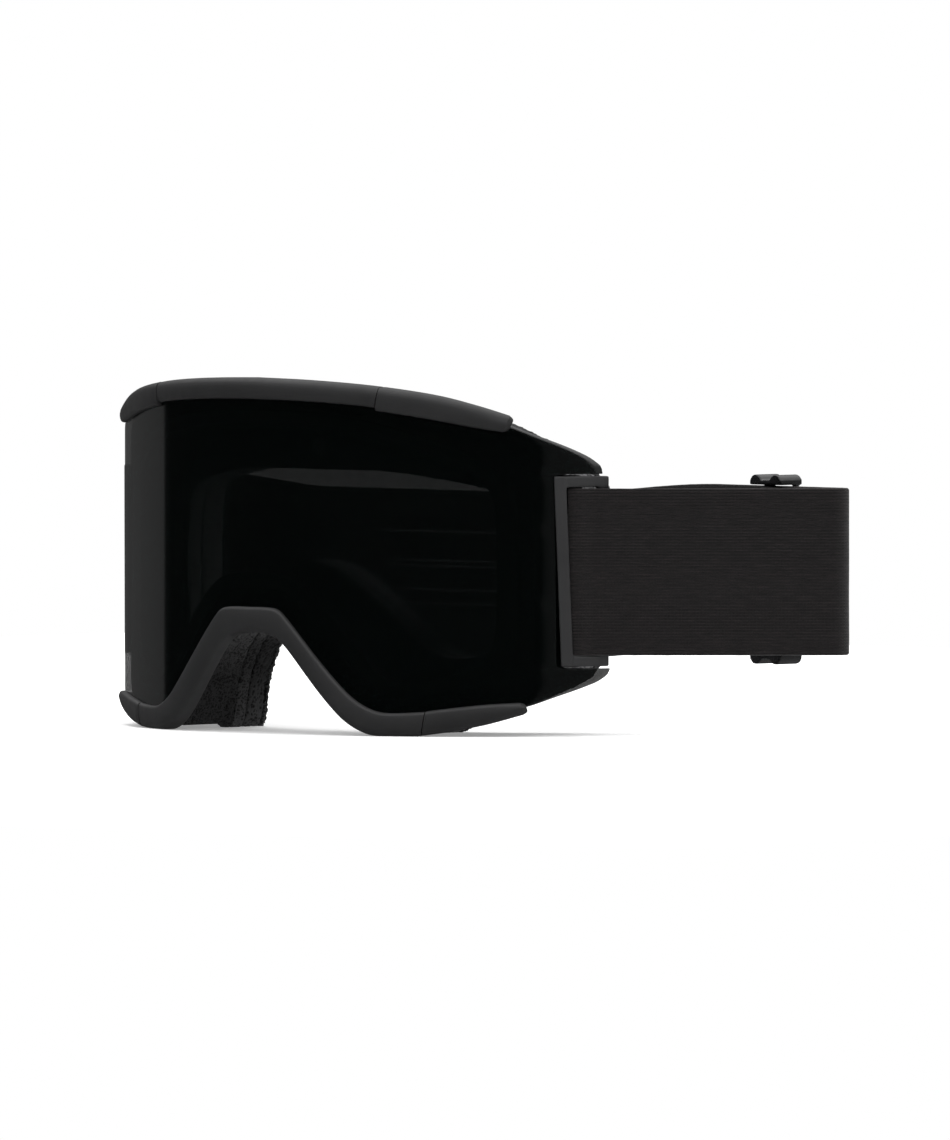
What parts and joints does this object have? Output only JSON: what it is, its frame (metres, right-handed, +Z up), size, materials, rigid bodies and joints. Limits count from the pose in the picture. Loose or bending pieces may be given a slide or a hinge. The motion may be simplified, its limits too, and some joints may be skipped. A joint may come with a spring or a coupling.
{
  "type": "ski goggles",
  "caption": "Ski goggles with a cylindrical dark double lens, matt top and bottom rails, layered face foam and a folded elastic strap with slide adjusters.",
  "frame": {"origin": "centre of the footprint's bounding box, on the surface that the goggles stand on", "axes": "+X across the face towards the wearer's left, +Y from the lens towards the face, +Z up"},
  "size_m": [0.2424, 0.12, 0.105],
  "materials": {
    "lens": "smoked mirror-black polycarbonate, polished",
    "gasket": "closed-cell foam strip",
    "inner_lens": "clear grey cellulose propionate, polished",
    "breather": "porous disc",
    "frame": "soft matt moulding",
    "rails": "fine matt texture",
    "vent_foam": "open-cell foam",
    "firm_foam": "open-cell foam",
    "soft_foam": "open-cell foam",
    "fleece": "brushed fleece",
    "brackets": "fine matt texture",
    "webbing": "woven elastic with fine cross ribs",
    "silicone": "printed silicone lines",
    "adjusters": "polished moulding"
  },
  "bodies": {
    "goggles": {"outer_lens": "lens", "lens_gasket": "gasket", "inner_lens": "inner_lens", "lens_breather": "breather", "frame_body": "frame", "top_rail": "rails", "top_rail_cap_left": "rails", "top_rail_cap_right": "rails", "bottom_rail": "rails", "bottom_rail_cap_left": "rails", "bottom_rail_cap_right": "rails", "vent_foam_top": "vent_foam", "vent_foam_bottom_left": "vent_foam", "vent_foam_bottom_right": "vent_foam", "face_foam_firm": "firm_foam", "face_foam_soft": "soft_foam", "face_fleece": "fleece", "strap_bracket_left": "brackets", "strap_bracket_right": "brackets", "strap": "webbing", "strap_grip_beads": "silicone", "strap_tail_left": "webbing", "strap_tail_right": "webbing"},
    "adjuster_left": {"strap_adjuster_left": "adjusters", "strap_end_loop_left": "webbing"},
    "adjuster_right": {"strap_adjuster_right": "adjusters", "strap_end_loop_right": "webbing"}
  },
  "joints": [
    {"name": "adjuster_left_slide", "type": "slide", "parent": "goggles", "child": "adjuster_left", "axis": [-0.9977, 0.0685, 0], "range_m": [-0.003, 0.008]},
    {"name": "adjuster_right_slide", "type": "slide", "parent": "goggles", "child": "adjuster_right", "axis": [0.0523, 0.9986, 0], "range_m": [-0.002, 0.007]}
  ]
}
